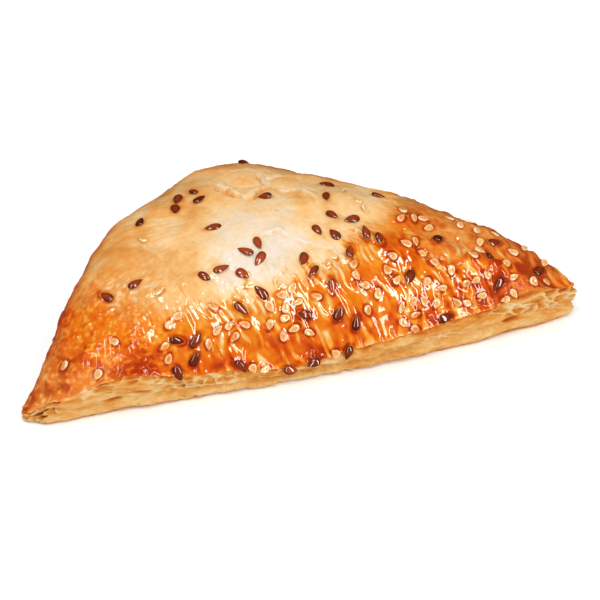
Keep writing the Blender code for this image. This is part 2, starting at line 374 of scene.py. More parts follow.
def unrolled(down, wide, tall):
    """Places round the pastry and down its slopes, in units of wide and tall."""
    radius = PERIMETER / math.tau / wide
    turns = np.broadcast_to(SHARES * math.tau, down.shape)
    return np.stack([np.cos(turns) * radius, np.sin(turns) * radius, down / tall], axis=2)


def flowing(down, wide, tall, seed):
    """Unevenness with bumps of one length round the pastry and another down its slopes."""
    return uneven(unrolled(down, wide, tall), 1.0, seed)


def inside_cell(places, seed):
    """0 on the walls between cells, and up to about 1 in the middle of large ones."""
    away = Vector((seed, seed, seed))
    depths = []
    for place in places.reshape(-1, 3):
        near = noise.voronoi(Vector(place) + away)[0]
        depths.append(near[1] - near[0])
    return np.array(depths).reshape(places.shape[:2])


def grid_normals(grid):
    """Normals of rings of points from the middle outwards."""
    across = np.roll(grid, -1, axis=1) - np.roll(grid, 1, axis=1)
    down = np.gradient(grid, axis=0)
    normals = np.cross(down, across)
    return normals / np.maximum(np.linalg.norm(normals, axis=2, keepdims=True), 1e-12)


def fine_rings():
    """The crust's and the cut side's rings of points, before the fine relief."""
    steps = np.arange(1, CRUST_FINE + 1) / (CRUST_FINE + 1)
    quarter = RING_CROWDING * math.pi / 2
    out = np.sin(steps * quarter) / math.sin(quarter)
    crust = crust_points(np.tile(SHARES, CRUST_FINE), np.repeat(out, AROUND_FINE))
    crust = crust.reshape(CRUST_FINE, AROUND_FINE, 3)
    level = np.linspace(1, 0, SIDE_FINE)
    profile = np.array(SIDE_PROFILE)
    outwards = np.interp(level, profile[:, 0], profile[:, 1])
    side = side_points(
        np.tile(SHARES, SIDE_FINE), np.repeat(level, AROUND_FINE), np.repeat(outwards, AROUND_FINE)
    )
    side = side.reshape(SIDE_FINE, AROUND_FINE, 3)
    crust_edge = crust_points(SHARES, np.ones(AROUND_FINE))
    crust += smoothstep(SEAM, 1, out)[:, None, None] * (side[0] - crust_edge)
    return crust, side, out, level


crust_grid, side_grid, crust_out, side_level = fine_rings()
crust_normals = grid_normals(crust_grid)
plan_x, plan_y = crust_grid[..., 0], crust_grid[..., 1]
front_gap, right_gap, left_gap = side_insets(plan_x, plan_y)
rim_gap = np.minimum(np.minimum(front_gap, right_gap), left_gap)
side_level = np.broadcast_to(side_level[:, None], side_grid.shape[:2])
side_height = side_grid[..., 2]

# --- The seeds' places ---------------------------------------------------------------------

SEED_RING = (1.1, 0.3)  # radius and width of the ring of dough round a seed, in half seeds

coarse_mesh = build_pastry()
coarse = bmesh.new()
coarse.from_mesh(coarse_mesh)
coarse_crust = BVHTree.FromBMesh(coarse)
coarse.free()
draws = random.Random(11)
flax_seeds = scatter(coarse_crust, FLAX_DRIFTS, FLAX_SIZE[0], [], draws)
sesame_seeds = scatter(coarse_crust, SESAME_DRIFTS, SESAME_SIZE[0], list(flax_seeds), draws)
sesame_seeds = sesame_seeds[len(flax_seeds) :]


def ring_round_seeds(seeds_of_kind, size):
    """1 where the dough meets a seed, fading away on both sides."""
    radius, width = SEED_RING
    ring = np.zeros(plan_x.size)
    flat = crust_grid.reshape(-1, 3)
    for spot, turn, _ in seeds_of_kind:
        index = np.nonzero(np.linalg.norm(flat - np.array(spot), axis=1) < size[0])[0]
        inverse = np.array(lay(coarse_crust, spot, turn, 0).inverted())
        local = flat[index] @ inverse[:3, :3].T + inverse[:3, 3]
        gap = np.hypot(local[:, 0] / size[0], local[:, 1] / size[1]) * 2
        ring[index] = np.maximum(ring[index], np.exp(-(((gap - radius) / width) ** 2)))
    return ring.reshape(plan_x.shape)


seed_ring = np.maximum(
    ring_round_seeds(flax_seeds, FLAX_SIZE), ring_round_seeds(sesame_seeds, SESAME_SIZE)
)

# --- Relief of the crust -------------------------------------------------------------------

BLISTERS = (  # x, y, radius, rise
    (0.0295, 0.0100, 0.0068, 0.0010),
    (0.0430, 0.0100, 0.0045, 0.0007),
    (0.0550, 0.0110, 0.0050, 0.0007),
    (0.0580, 0.0030, 0.0040, 0.0006),
    (0.0650, 0.0050, 0.0038, 0.0006),
    (0.0435, 0.0020, 0.0040, 0.0005),
    (0.0360, 0.0220, 0.0060, 0.0006),
    (-0.0620, 0.0120, 0.0022, 0.0004),
    (-0.0750, 0.0020, 0.0018, 0.0003),
    (-0.0700, 0.0030, 0.0024, 0.0003),
    (-0.0040, 0.0525, 0.0060, 0.0009),
    (0.0060, 0.0460, 0.0050, 0.0010),
    (0.0075, 0.0340, 0.0060, 0.0007),
    (-0.0300, 0.0450, 0.0070, 0.0006),
)
CREASES = (  # x and y at both ends, depth, width
    (-0.0170, 0.0520, -0.0085, 0.0385, 0.00135, 0.0008),
    (-0.0085, 0.0385, 0.0010, 0.0440, 0.00120, 0.0008),
    (0.0000, 0.0560, 0.0010, 0.0440, 0.00090, 0.0008),
    (0.0010, 0.0430, 0.0120, 0.0290, 0.00090, 0.0009),
    (-0.0085, 0.0200, 0.0010, 0.0180, 0.00060, 0.0007),
    (0.0000, 0.0180, 0.0080, 0.0130, 0.00075, 0.0007),
    (0.0080, 0.0140, 0.0130, 0.0060, 0.00075, 0.0007),
    (0.0150, 0.0180, 0.0240, 0.0120, 0.00075, 0.0008),
    (0.0360, 0.0150, 0.0380, 0.0040, 0.00090, 0.0008),
    (0.0480, 0.0160, 0.0500, 0.0040, 0.00075, 0.0008),
    (-0.0480, 0.0360, -0.0360, 0.0180, 0.00045, 0.0009),
)
LOOSE_BLISTERS = 70
LOOSE_RINGS = (40, CRUST_FINE - 30)  # between which they lie
LOOSE_RADIUS = (0.0012, 0.0040)
LOOSE_RISE = (0.04, 0.10)  # of the radius


def blister(x, y, radius, rise):
    """A dome with a faint groove round its foot."""
    gap = np.hypot(plan_x - x, plan_y - y) / radius
    dome = np.clip(1 - gap**2, 0, 1) ** 1.3
    return rise * (dome - 0.22 * np.exp(-(((gap - 1.06) / 0.13) ** 2)))


def crease(x0, y0, x1, y1, depth, width):
    """A groove with a soft lip along one side of a wavering line."""
    length = math.hypot(x1 - x0, y1 - y0)
    along_x, along_y = (x1 - x0) / length, (y1 - y0) / length
    forth = (plan_x - x0) * along_x + (plan_y - y0) * along_y
    off = (plan_y - y0) * along_x - (plan_x - x0) * along_y + waver
    ends = smoothstep(-0.05, 0.35, forth / length) * smoothstep(1.05, 0.65, forth / length)
    groove = np.exp(-((off / width) ** 2))
    lip = np.exp(-(((off - 1.7 * width) / (1.4 * width)) ** 2))
    return depth * ends * (0.7 * lip - groove)


draws = random.Random(5)
waver = 0.0028 * uneven(crust_grid, 0.006, 41) + 0.0009 * uneven(crust_grid, 0.002, 42)
creases = sum(crease(*row) for row in CREASES)
large = sum(blister(*row) for row in BLISTERS)
for _ in range(LOOSE_BLISTERS):
    ring = draws.randrange(*LOOSE_RINGS)
    column = draws.randrange(AROUND_FINE)
    radius = draws.uniform(*LOOSE_RADIUS)
    rise = radius * draws.uniform(*LOOSE_RISE)
    large += blister(plan_x[ring, column], plan_y[ring, column], radius, rise)

# The front strip, both ends, where the dough bubbled, and the left of the front, with dimples.
on_front = smoothstep(0.026, 0.012, front_gap + 0.004 * uneven(crust_grid, 0.010, 26))
bubbly = smoothstep(0.024, 0.045, plan_x) + smoothstep(-0.045, -0.060, plan_x)
dimpled = on_front * smoothstep(0.015, -0.030, plan_x)

# The puffed dough is uneven.
swell_places = crust_grid / 0.0075 + 0.3 * waver[..., None] / 0.0022
swell = smoothstep(0.05, 0.6, inside_cell(swell_places, 17))
large += 0.0005 * uneven(crust_grid, 0.0080, 27)
front_relief = 0.0003 + 0.0002 * smoothstep(0.010, -0.030, plan_x)
large += front_relief * on_front * uneven(crust_grid, 0.0048, 28)
large += 0.0005 * (swell - 0.5) * (0.25 + 0.75 * bubbly)

# The glaze ran down the front in ripples, thicker in some places. They sway with the slope.
glaze_pools = smoothstep(-0.25, 0.25, uneven(crust_grid, 0.011, 25))
sway = plan_x + 0.0016 * uneven(crust_grid, 0.006, 21) + 0.26 * (plan_y + crust_grid[..., 2])
swayed = np.stack([sway, plan_y, crust_grid[..., 2]], axis=2)
ripples = uneven(swayed, (0.0014, 0.0070, 0.0070), 23)
ripples += 0.5 * (0.3 - np.abs(uneven(swayed, (0.0018, 0.0085, 0.0085), 24)))
small = 0.00023 * ripples * on_front * (0.45 + 0.55 * glaze_pools)

# Small lumps, skin drawn down the other slopes, dimples, and dough that rises to the seeds.
lumps = smoothstep(0.05, 0.6, inside_cell(crust_grid / 0.0034, 19)) * (0.35 + 0.65 * bubbly)
drawn = flowing(rim_gap, 0.0014, 0.0030, 22) * smoothstep(0.030, 0.016, rim_gap)
small += 0.00014 * lumps
small += 0.00014 * drawn * (1 - on_front)
small += (0.00010 + 0.00014 * dimpled) * uneven(crust_grid, 0.0026, 29)
small += 0.00002 * uneven(crust_grid, 0.0011, 31)
small += 0.00008 * seed_ring
fade = smoothstep(1.0, 0.985, crust_out)[:, None]
crust_relief = (large + creases + small) * fade
crust_fine = crust_grid + crust_normals * crust_relief[..., None]

# --- Relief of the cut side ----------------------------------------------------------------

OPENNESS = (  # share of the way round, how open the bubbles between the layers are there
    (0.000, 0.7),
    (0.030, 1.0),
    (0.110, 0.9),
    (0.150, 0.5),
    (0.260, 0.35),
    (0.310, 0.6),
    (0.350, 1.0),
    (0.420, 1.0),
    (0.550, 0.6),
    (1.000, 0.7),
)
SLITS = (  # share of the way round, level, half length and half height as shares
    (0.010, 0.62, 0.006, 0.09),
    (0.022, 0.70, 0.007, 0.07),
    (0.017, 0.40, 0.004, 0.05),
    (0.060, 0.45, 0.005, 0.05),
    (0.080, 0.55, 0.007, 0.05),
    (0.372, 0.62, 0.006, 0.06),
    (0.352, 0.40, 0.006, 0.05),
)
BULGES = (  # of the bottom edge: x, how far out
    (-0.040, 0.0008),
    (0.050, 0.0009),
)
BULGE_WIDTH = 0.012
LAYER = 0.0008  # thickness of a layer

# Bubbles between layers that bend a little, open in the upper sheet and only faint in the lower.
bent = side_height + 0.0011 * flowing(side_height, 0.010, 0.02, 51)
bent += 0.0004 * flowing(side_height, 0.003, 0.004, 53)
open_here = np.interp(SHARES, *np.array(OPENNESS).T)
upper = smoothstep(0.38, 0.52, side_level)
cells = smoothstep(0.03, 0.22, inside_cell(unrolled(bent, 0.0045, 0.0021), 3))
fine_cells = smoothstep(0.03, 0.50, inside_cell(unrolled(bent, 0.0028, 0.0010), 9))
layers = np.sin(bent / LAYER * math.pi)
patches = smoothstep(-0.35, 0.25, flowing(side_height, 0.011, 0.0045, 79))
open_patches = upper * open_here * patches
pits = open_patches * (0.7 * cells + 0.3 * fine_cells) + (1 - upper) * 0.25 * fine_cells
slits = np.zeros(side_level.shape)
for share, level, long, tall in SLITS:
    slits += np.exp(-(((SHARES - share) / long) ** 4) - ((side_level - level) / tall) ** 2)
side_relief = -0.0013 * pits - 0.0011 * slits + 0.00010 * layers
side_relief += 0.0003 * flowing(side_height, 0.0016, 0.0010, 57)
side_relief *= smoothstep(1.0, 0.95, side_level) * smoothstep(0.0, 0.05, side_level)
side_angle = np.interp(SHARES, SHARE, ANGLE)
side_outwards = np.column_stack([np.cos(side_angle), np.sin(side_angle), np.zeros(AROUND_FINE)])
side_fine = side_grid + side_outwards * side_relief[..., None]


def wavering(*waves):
    """Unevenness round the pastry: the sum of waves of (height, length, seed)."""
    return sum(height * flowing(side_height[:1], length, 1, seed) for height, length, seed in waves)


# The edge between the crust and the cut side wavers in and out.
wobble = wavering((0.0004, 0.0040, 93), (0.0002, 0.0016, 94))
wobble = wobble[0][None, :, None] * side_outwards[None]
crust_fine += wobble * smoothstep(0.90, 1.0, crust_out)[:, None, None]
side_fine += wobble * (0.3 + 0.7 * side_level[..., None])

# The bottom edge is frayed, bulges in two places and lifts off the floor in others.
frayed = wavering((0.0008, 0.0050, 95), (0.0007, 0.0018, 96))
edge_x = side_grid[0, :, 0]
bulge = sum(far * np.exp(-(((edge_x - x) / BULGE_WIDTH) ** 2)) for x, far in BULGES)
frayed = frayed + bulge
side_fine += smoothstep(0.60, 0.0, side_level)[..., None] * frayed[..., None] * side_outwards[None]
lift = wavering((0.0013, 0.012, 97)) - 0.6 * bulge + 0.6 * frayed
side_fine[..., 2] += smoothstep(0.30, 0.0, side_level) * np.clip(lift, 0, 0.0012)

# The crust's edge is ragged where it meets the cut side.
ragged = wavering((0.0005, 0.0030, 91), (0.0003, 0.0011, 92))
side_fine[..., 2] += ragged * smoothstep(0.6, 1.0, side_level)
crust_fine[..., 2] += ragged * smoothstep(0.94, 1.0, crust_out)[:, None]

# --- Colours -------------------------------------------------------------------------------

DRY_BAKES = (  # how far baked, and the colour there, where there is little glaze
    (0.00, (0.705, 0.60, 0.505)),
    (0.15, (0.715, 0.55, 0.375)),
    (0.30, (0.73, 0.475, 0.225)),
    (0.45, (0.69, 0.365, 0.125)),
    (0.60, (0.64, 0.265, 0.056)),
    (0.78, (0.55, 0.165, 0.023)),
    (1.00, (0.34, 0.055, 0.009)),
)
GLAZED_BAKES = (  # the same where the glaze is deep
    (0.00, (0.75, 0.57, 0.32)),
    (0.22, (0.72, 0.35, 0.066)),
    (0.42, (0.71, 0.215, 0.008)),
    (0.60, (0.66, 0.138, 0.003)),
    (0.80, (0.54, 0.064, 0.002)),
    (1.00, (0.33, 0.024, 0.001)),
)
SPOTS = (  # x, y, radius along x, radius along y, how much more or less baked
    # the palest, over the top, is less baked dough with painted glare
    (-0.014, 0.010, 0.015, 0.009, -0.44),
    (-0.012, 0.024, 0.015, 0.011, -0.20),
    (-0.008, 0.040, 0.014, 0.014, -0.09),
    (0.004, 0.018, 0.014, 0.009, -0.06),
    (0.000, 0.052, 0.022, 0.010, -0.04),
    (0.013, 0.009, 0.007, 0.005, -0.10),
    (-0.038, 0.017, 0.012, 0.008, 0.05),
    (-0.050, 0.026, 0.014, 0.016, 0.13),
    (-0.064, 0.010, 0.012, 0.010, 0.12),
    (0.050, 0.022, 0.020, 0.014, 0.24),
    (0.072, 0.006, 0.014, 0.010, 0.46),
    (0.054, -0.001, 0.005, 0.003, 0.22),
    (0.069, 0.003, 0.004, 0.003, 0.22),
    (-0.0475, -0.0022, 0.0045, 0.0017, 0.48),
    (-0.038, -0.003, 0.004, 0.003, 0.05),
    (-0.073, 0.003, 0.012, 0.008, 0.20),
    (-0.062, 0.012, 0.010, 0.010, 0.05),
    (0.012, -0.001, 0.016, 0.006, 0.08),
    (0.026, 0.026, 0.012, 0.010, -0.14),
    (-0.021, 0.046, 0.009, 0.008, 0.13),
    (-0.020, -0.003, 0.012, 0.004, 0.10),
    (-0.076, 0.002, 0.005, 0.004, 0.16),
)
GLAZE_EDGE = (  # where the deep colour of the front ends: x, and how far in from the front
    (-0.084, 0.0300),
    (-0.062, 0.0250),
    (-0.052, 0.0170),
    (-0.043, 0.0085),
    (-0.034, 0.0090),
    (-0.026, 0.0105),
    (-0.012, 0.0100),
    (0.000, 0.0125),
    (0.011, 0.0120),
    (0.018, 0.0200),
    (0.028, 0.0260),
    (0.038, 0.0340),
    (0.084, 0.0500),
)
TOWARDS_CAMERA = (-0.231, -0.753, 0.616)  # the crust is darker where it starts to turn from it, and paler where it faces away
SIDE_SHADE = (0.86, 0.86, 0.77)  # the crumb's colour, of that of crust baked as far


def ramp(stations, at):
    """Colours at some values, between stations of (value, colour)."""
    values = [station[0] for station in stations]
    colours = np.array([station[1] for station in stations])
    return np.stack([np.interp(at, values, colours[:, i]) for i in range(3)], axis=-1)


mottle = uneven(crust_grid, 0.012, 61)
blotch = uneven(crust_grid, 0.0045, 63)
speck = uneven(crust_grid, 0.0016, 65)
streak = flowing(rim_gap, 0.0026, 0.0045, 67) * smoothstep(0.036, 0.018, rim_gap)
fine_streak = uneven(swayed, (0.0012, 0.0045, 0.0045), 69)

# Places where there is less glaze. The rim of the front is softer towards both ends.
soft_rim = smoothstep(-0.048, -0.060, plan_x) + smoothstep(0.050, 0.064, plan_x)
soft_rim *= np.exp(-(((front_gap + 0.0020 * blotch) / 0.0030) ** 2))
right_slope = smoothstep(0.030, 0.055, plan_x) * smoothstep(0.006, 0.016, front_gap)
right_tip = smoothstep(0.060, 0.072, plan_x) * smoothstep(0.002, 0.005, front_gap)
left_tip = smoothstep(-0.064, -0.076, plan_x)

# How deep the glaze's colour is. It ends unevenly, and more softly towards both ends.
glaze_end = np.interp(plan_x, *np.array(GLAZE_EDGE).T)
past_end = front_gap - glaze_end + 0.006 * mottle + 0.005 * blotch + 0.0045 * streak
past_end += 0.0035 * speck + 0.0040 * fine_streak
soft = 0.0026 + 0.0045 * (smoothstep(-0.030, -0.050, plan_x) + smoothstep(0.020, 0.034, plan_x))
glazed = smoothstep(soft, -soft, past_end)

# How thick its clear coat is, which gives the glints.
coated = smoothstep(-0.1, 0.9, glazed + 0.4 * glaze_pools)
coated *= 0.55 + 0.45 * smoothstep(0.000, 0.005, rim_gap)
coated *= 1 - 0.6 * soft_rim
coated *= 1 - 0.6 * smoothstep(0.044, 0.058, plan_x)
coated *= 1 - 0.45 * smoothstep(-0.036, -0.052, plan_x)

glazed *= 1 - 0.45 * soft_rim
glazed *= 1 - 0.75 * right_slope
glazed *= 1 - 0.6 * right_tip
glazed *= 1 - 0.6 * left_tip

# How far the crust is baked, from 0 to 1, with painted highlight and painted shade added in below.
bake_and_painted_light = 0.39 + 0.15 * mottle + 0.08 * streak + 0.10 * glazed
bake_and_painted_light += (0.13 + 0.05 * glazed) * blotch
bake_and_painted_light += (0.07 + 0.08 * glazed) * speck
for x, y, wide, deep, more in SPOTS:
    bake_and_painted_light += more * np.exp(-(((plan_x - x) / wide) ** 2) - ((plan_y - y) / deep) ** 2)

# It is streaked down the front and pale on the ripples' crests, partly thin glaze and partly
# painted highlight. At its left end, painted highlight dappling stands in instead.
streaked = smoothstep(-0.050, -0.030, plan_x)
bake_and_painted_light += (0.20 * fine_streak * glazed - 0.10 * ripples * on_front) * (0.3 + 0.7 * streaked)
# painted highlight: cream strokes on the ripples, where glints fall
bake_and_painted_light -= 0.37 * smoothstep(0.20, 0.50, ripples) * on_front * glazed * streaked
# painted highlight: pale dappling on the left of the front, standing in for glints
highlight_dapples = smoothstep(0.10, 0.40, uneven(crust_grid, 0.0012, 70)) * (1 - streaked)
bake_and_painted_light -= 0.28 * highlight_dapples * smoothstep(0.030, 0.018, front_gap)

# It is browner towards the rim, above all on the left, and pale on the edge of the other sides.
bake_and_painted_light += 0.10 * np.exp(-((rim_gap / 0.0016) ** 2)) * (0.8 + mottle)
left_band = 0.12 + 0.20 * smoothstep(0.010, 0.026, plan_y)
bake_and_painted_light += left_band * np.exp(-((left_gap / 0.0052) ** 2)) * (0.8 + blotch)
bake_and_painted_light += 0.16 * np.exp(-((left_gap / 0.0020) ** 2))
bake_and_painted_light += 0.10 * smoothstep(0.006, 0.001, front_gap) + 0.04 * soft_rim
pale_edge = smoothstep(0.985, 1.0, crust_out[:, None] + 0.008 * flowing(rim_gap, 0.004, 0.002, 68))
bake_and_painted_light -= 0.25 * pale_edge * smoothstep(0.003, 0.008, left_gap)

# It is browner on blisters and lumps. Creases get painted shade in their grooves and a painted
# highlight on their lips. A darker ring round each seed is partly pooled glaze, partly painted
# shade.
# It is darker on the steep slopes behind the front and where the crust turns from the camera, and
# paler where it faces away.
bake_and_painted_light += 260 * np.clip(large, -0.0006, 0.0006) * (0.6 + 0.4 * bubbly) - 170 * creases
bake_and_painted_light += 0.14 * lumps * bubbly
# painted shade in part: a darker ring where each seed meets the crust, where glaze also pools
bake_and_painted_light += 0.40 * seed_ring * (0.3 + 0.7 * glazed)
# darker on steep slopes and along the outline as the camera sees it, paler where the crust faces
# away
bake_and_painted_light += 0.16 * smoothstep(0.90, 0.66, crust_normals[..., 2]) * smoothstep(0.006, 0.014, front_gap)
towards_camera = crust_normals @ np.array(TOWARDS_CAMERA)
turning = smoothstep(0.42, 0.05, towards_camera) * (1 - 0.6 * smoothstep(-0.030, -0.060, plan_x))
bake_and_painted_light += 0.28 * turning - 0.50 * smoothstep(0.05, -0.20, towards_camera)
bake_and_painted_light = np.clip(bake_and_painted_light, 0, 1)
dry_colour = ramp(DRY_BAKES, bake_and_painted_light)
crust_colour = dry_colour + (ramp(GLAZED_BAKES, bake_and_painted_light) - dry_colour) * glazed[..., None]

# The cut side is darker in bubbles, partly browning and partly painted shade, and in slits, painted
# shade. It is browner at both edges, and pale on the bubbles' walls.
side_bake_and_shade = 0.47 + 0.02 * layers
side_bake_and_shade += 0.20 * flowing(side_height, 0.009, 0.0035, 71)
side_bake_and_shade += 0.16 * flowing(side_height, 0.0026, 0.0012, 73)
side_bake_and_shade += 0.08 * flowing(side_height, 0.0009, 0.0008, 77)
# painted shade in the bubbles and slits
side_bake_and_shade += 0.22 * pits + 0.6 * slits - 0.36 * (1 - cells) * open_patches
side_bake_and_shade -= 0.12 * np.exp(-(((side_level - 0.20) / 0.12) ** 2))
side_bake_and_shade += 0.30 * smoothstep(0.10, 0.0, side_level)
brown_top = side_level + 0.14 * flowing(side_height, 0.004, 0.002, 75)
side_bake_and_shade += 0.30 * smoothstep(0.82, 1.0, brown_top)
side_colour = ramp(DRY_BAKES, np.clip(side_bake_and_shade, 0, 1)) * SIDE_SHADE

# --- The crust's mesh ----------------------------------------------------------------------

SIDE_DULL = 0.62  # roughness of the cut side
UNDER_DULL = 0.6  # and of the underside


def add_tint(mesh, colours):
    """Gives each point of a mesh its colour, which the materials read."""
    opaque = np.ones(len(colours))
    tint = mesh.color_attributes.new("tint", "FLOAT_COLOR", "POINT")
    tint.data.foreach_set("color", np.column_stack([colours, opaque]).ravel())


def with_ends(values):
    """Values for the points of closed_rings: both middles, which copy a point, and the rings."""
    flat = values.reshape(values.shape[0] * values.shape[1], -1)
    return np.concatenate([values[0, 0].reshape(1, -1), values[-1, 0].reshape(1, -1), flat])


def closed_rings(name, rings, colours, floats):
    """A closed skin through rings of points, with a point in the middle of each end ring."""
    count, around, _ = rings.shape
    points = np.concatenate([[rings[0].mean(axis=0), rings[-1].mean(axis=0)], rings.reshape(-1, 3)])
    here = 2 + np.arange(around)
    after = 2 + (np.arange(around) + 1) % around
    last = (count - 1) * around
    faces = [(0, a, b) for a, b in zip(here.tolist(), after.tolist())]
    faces += [(1, b + last, a + last) for a, b in zip(here.tolist(), after.tolist())]
    for ring in range(count - 1):
        step = ring * around
        quads = np.column_stack([here, here + around, after + around, after]) + step
        faces += quads.tolist()
    mesh = bpy.data.meshes.new(name)
    mesh.from_pydata(points.tolist(), [], faces)
    add_tint(mesh, with_ends(colours))
    for key, values in floats.items():
        attribute = mesh.attributes.new(key, "FLOAT", "POINT")
        attribute.data.foreach_set("value", with_ends(values).ravel())
    mesh.shade_smooth()
    return mesh


edge = side_fine[-1]
centre = np.array([MIDDLE[0], MIDDLE[1], 0])
under = np.stack([centre + (edge - centre) * (keep, keep, 0) for keep in UNDER_RINGS])
under_colour = ramp(DRY_BAKES, np.clip(0.55 + 0.15 * uneven(under, 0.01, 81), 0, 1))
side_shape, under_shape = side_fine.shape[:2], under.shape[:2]
dull = np.concatenate([
    0.50 - 0.12 * glazed + 0.08 * blotch,
    np.full(side_shape, SIDE_DULL),
    np.full(under_shape, UNDER_DULL),
])
coat = np.concatenate([coated, np.zeros(side_shape), np.zeros(under_shape)])
crust_mesh = closed_rings(
    "crust",
    np.concatenate([crust_fine, side_fine, under]),
    np.concatenate([crust_colour, side_colour, under_colour]),
    {"dull": dull, "coat": coat},
)

# --- The seeds' meshes ---------------------------------------------------------------------

SEED_SIDES_FINE = 24
SEED_RINGS_FINE = 16
SEED_SCALES = (0.80, 1.04)  # between which each seed's length, width and thickness differ
FLAX_TILTS = (15, 7)  # to the side and along, in degrees, typically
SESAME_TILTS = (24, 9)
SESAME_DENT = 0.6  # how much thinner the middle is
DROP_HEIGHT = 0.003  # from which seeds land on the crust
FLAX_MIDDLES = ((0.38, 0.058, 0.015), (0.11, 0.011, 0.004))  # on pale and on brown crust
FLAX_SHADED_EDGE = 0.40  # of the middle's colour: painted shade round the seed's rim
SESAME_MIDDLES = ((0.76, 0.43, 0.14), (0.72, 0.22, 0.025))  # dry and glazed
SESAME_EDGE = (0.88, 0.73, 0.47)


def drop_points(sides, rings, dent):
    """A drop of length, width and thickness 1 along X, dented in the middle: rings and two tips."""
    points = [(-0.5, 0, 0)]
    for ring in range(1, rings):
        along = -math.cos(math.pi * ring / rings) / 2
        pointed = 1 + 0.6 * max(0.0, 2 * along)
        around = math.sin(math.pi * ring / rings) ** pointed / 2 * (1 - 0.7 * along)
        for side in range(sides):
            turn = math.tau * side / sides
            across, up = around * math.cos(turn), around * math.sin(turn)
            inside = max(0.0, 1 - (2 * along) ** 2 - (2 * across) ** 2)
            points.append((along, across, up * (1 - dent * inside**2)))
    points.append((0.5, 0, 0))
    return points


def drop_faces(sides, rings, first):
    """Faces of a drop whose points are numbered from the first on."""
    faces = []
    last = first + 1 + (rings - 1) * sides
    for side in range(sides):
        after = (side + 1) % sides
        faces.append((first, first + 1 + after, first + 1 + side))
        faces.append((last, last - sides + side, last - sides + after))
        for ring in range(rings - 2):
            here = first + 1 + ring * sides
            faces.append((here + side, here + after, here + sides + after, here + sides + side))
    return faces


def form_of(rings):
    """The skin through rings of points, for seeds to land on."""
    count, around, _ = rings.shape
    here = np.arange(around)
    after = (here + 1) % around
    quads = np.column_stack([here, here + around, after + around, after])
    faces = []
    for ring in range(count - 1):
        faces += (quads + ring * around).tolist()
    return BVHTree.FromPolygons(rings.reshape(-1, 3).tolist(), faces)


fine_form = form_of(crust_fine[::2, ::2])


def seed_seat(spot, turn, thickness):
    """Where a seed lies on the fine crust, level with the coarse one."""
    seat = lay(coarse_crust, spot, turn, thickness)
    upward = seat.col[2].xyz
    hit = fine_form.ray_cast(spot + DROP_HEIGHT * upward, -upward)[0]
    return Matrix.Translation(upward * (hit - spot).dot(upward)) @ seat if hit else seat


def nearest_share(values, spot):
    """The value at the point of the crust nearest to a spot, of every fourth each way."""
    gap = np.linalg.norm(crust_grid[::4, ::4] - np.array(spot), axis=2)
    return values[::4, ::4][np.unravel_index(gap.argmin(), gap.shape)]


def between(first, second, share):
    """A colour a share of the way from the first to the second."""
    return [a + (b - a) * share for a, b in zip(first, second)]


def seeds_mesh(name, seeds_of_kind, size, dent, tilts, colour_of, draws):
    """All seeds of a kind in one mesh, each with its own size, tilt and colours."""
    points, faces, tints = [], [], []
    shape = drop_points(SEED_SIDES_FINE, SEED_RINGS_FINE, dent)
    for spot, turn, _ in seeds_of_kind:
        own = [length * draws.uniform(*SEED_SCALES) for length in size]
        roll = Matrix.Rotation(math.radians(draws.gauss(0, tilts[0])), 4, "X")
        pitch = Matrix.Rotation(math.radians(draws.gauss(0, tilts[1])), 4, "Y")
        seat = seed_seat(spot, turn, size[2]) @ pitch @ roll
        faces += drop_faces(SEED_SIDES_FINE, SEED_RINGS_FINE, len(points))
        middle, edge = colour_of(spot, draws)
        for x, y, z in shape:
            points.append(seat @ Vector((x * own[0], y * own[1], z * own[2])))
            share = min(1.0, 2 * math.hypot(x, y)) ** 3
            tints.append(between(middle, edge, share))
    mesh = bpy.data.meshes.new(name)
    mesh.from_pydata(points, [], faces)
    add_tint(mesh, tints)
    mesh.shade_smooth()
    return mesh


def flax_colour(spot, draws):
    """A seed's middle and edge, darker where the crust is browner; the darker edge is painted
    shade.
    """
    darkness = draws.uniform(0.4, 0.95) * smoothstep(0.05, 0.40, nearest_share(bake_and_painted_light, spot))
    middle = between(*FLAX_MIDDLES, darkness)
    return middle, [FLAX_SHADED_EDGE * value for value in middle]


def sesame_colour(spot, draws):
    """A seed's middle and edge, the middle as orange as the glaze that sank into it."""
    sunk = nearest_share(glazed, spot) * draws.uniform(0.3, 1.1)
    middle = between(*SESAME_MIDDLES, sunk)
    return middle, between(middle, SESAME_EDGE, 0.85)


flax_mesh = seeds_mesh(
    "flax seeds", flax_seeds, FLAX_SIZE, 0, FLAX_TILTS, flax_colour, random.Random(21)
)
sesame_mesh = seeds_mesh(
    "sesame seeds",
    sesame_seeds,
    SESAME_SIZE,
    SESAME_DENT,
    SESAME_TILTS,
    sesame_colour,
    random.Random(22),
)

# --- Materials -----------------------------------------------------------------------------

COAT_ROUGHNESS = 0.11
COAT_IOR = 2.0  # above real glaze's, for glints as bright as in the photo


def material(name, roughness):
    """A new material, its node tree and its shader."""
    made = bpy.data.materials.new(name)
    made.use_nodes = True
    shader = made.node_tree.nodes["Principled BSDF"]
    shader.inputs["Roughness"].default_value = roughness
    return made, made.node_tree, shader


